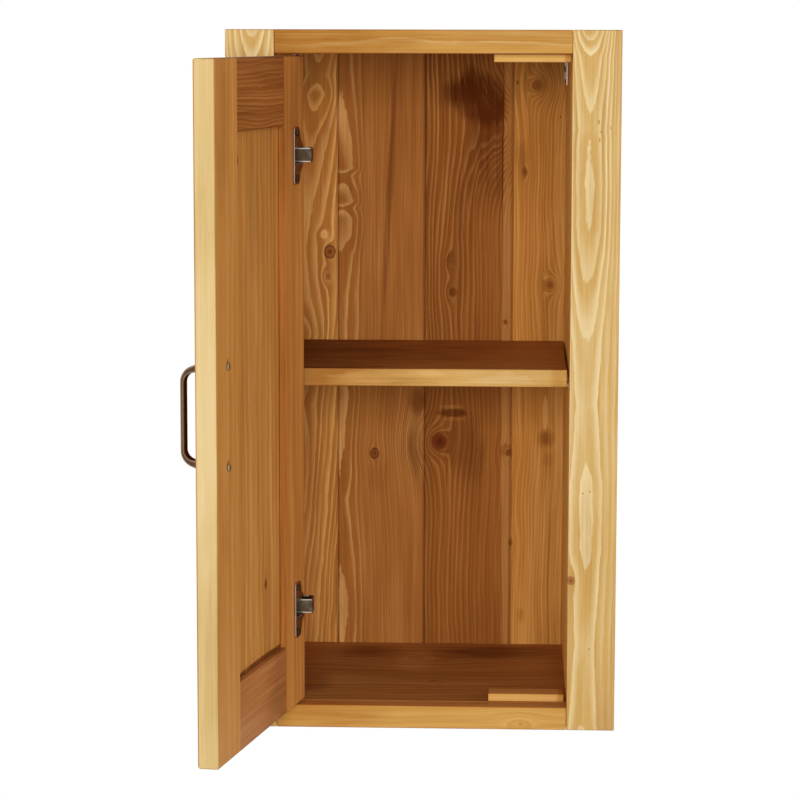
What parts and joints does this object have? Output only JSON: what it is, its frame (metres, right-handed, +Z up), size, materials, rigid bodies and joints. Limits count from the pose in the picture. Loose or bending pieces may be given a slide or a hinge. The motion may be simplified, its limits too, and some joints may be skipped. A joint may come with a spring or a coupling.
{
  "type": "kitchen wall cabinet",
  "caption": "Stained pine kitchen wall cabinet with a face frame, boarded back, loose shelf, and an inset framed door on concealed hinges with a bow handle.",
  "frame": {"origin": "middle of the rear face, on the wall plane", "axes": "+Z up, +Y into the wall, so the front faces -Y, +X to the right seen from the front"},
  "size_m": [0.4204, 0.5796, 0.72],
  "materials": {
    "pine_frame": "honey-stained, satin lacquered pine",
    "pine_inside": "darker stained, satin lacquered pine",
    "pine_door": "honey-stained, satin lacquered pine",
    "bronze_handle": "dark bronze",
    "nickel_hinge": "nickel-plated pressed steel",
    "zinc_fitting": "bright zinc-plated steel"
  },
  "bodies": {
    "carcass": {"back_board_1": "pine_inside", "back_board_2": "pine_inside", "back_board_3": "pine_inside", "back_board_4": "pine_inside", "bottom_panel": "pine_inside", "door_stop_bottom": "pine_frame", "door_stop_top": "pine_frame", "frame_rail_bottom": "pine_frame", "frame_rail_top": "pine_frame", "frame_stile_left": "pine_frame", "frame_stile_right": "pine_frame", "hanger_plate_left": "zinc_fitting", "hanger_plate_right": "zinc_fitting", "hanger_screw_left_1": "zinc_fitting", "hanger_screw_left_2": "zinc_fitting", "hanger_screw_right_1": "zinc_fitting", "hanger_screw_right_2": "zinc_fitting", "hinge_arm_lower": "nickel_hinge", "hinge_arm_screw_lower": "nickel_hinge", "hinge_arm_screw_upper": "nickel_hinge", "hinge_arm_upper": "nickel_hinge", "hinge_plate_lower": "nickel_hinge", "hinge_plate_screw_lower_1": "nickel_hinge", "hinge_plate_screw_lower_2": "nickel_hinge", "hinge_plate_screw_upper_1": "nickel_hinge", "hinge_plate_screw_upper_2": "nickel_hinge", "hinge_plate_upper": "nickel_hinge", "shelf": "pine_inside", "shelf_pin_left_front": "zinc_fitting", "shelf_pin_left_rear": "zinc_fitting", "shelf_pin_right_front": "zinc_fitting", "shelf_pin_right_rear": "zinc_fitting", "side_panel_left": "pine_inside", "side_panel_right": "pine_inside", "top_panel": "pine_inside"},
    "door": {"door_panel": "pine_door", "door_rail_bottom": "pine_door", "door_rail_top": "pine_door", "door_stile_hinge": "pine_door", "door_stile_lock": "pine_door", "handle": "bronze_handle", "handle_screw_lower": "zinc_fitting", "handle_screw_upper": "zinc_fitting", "hinge_cup_lower": "nickel_hinge", "hinge_cup_screw_lower_1": "nickel_hinge", "hinge_cup_screw_lower_2": "nickel_hinge", "hinge_cup_screw_upper_1": "nickel_hinge", "hinge_cup_screw_upper_2": "nickel_hinge", "hinge_cup_upper": "nickel_hinge", "hinge_pin_lower": "zinc_fitting", "hinge_pin_upper": "zinc_fitting"}
  },
  "joints": [
    {"name": "door_hinge", "type": "hinge", "parent": "carcass", "child": "door", "pos_m": [-0.1357, -0.2995, 0], "axis": [0, 0, -1], "range_deg": [-101.6, 3.4]}
  ]
}
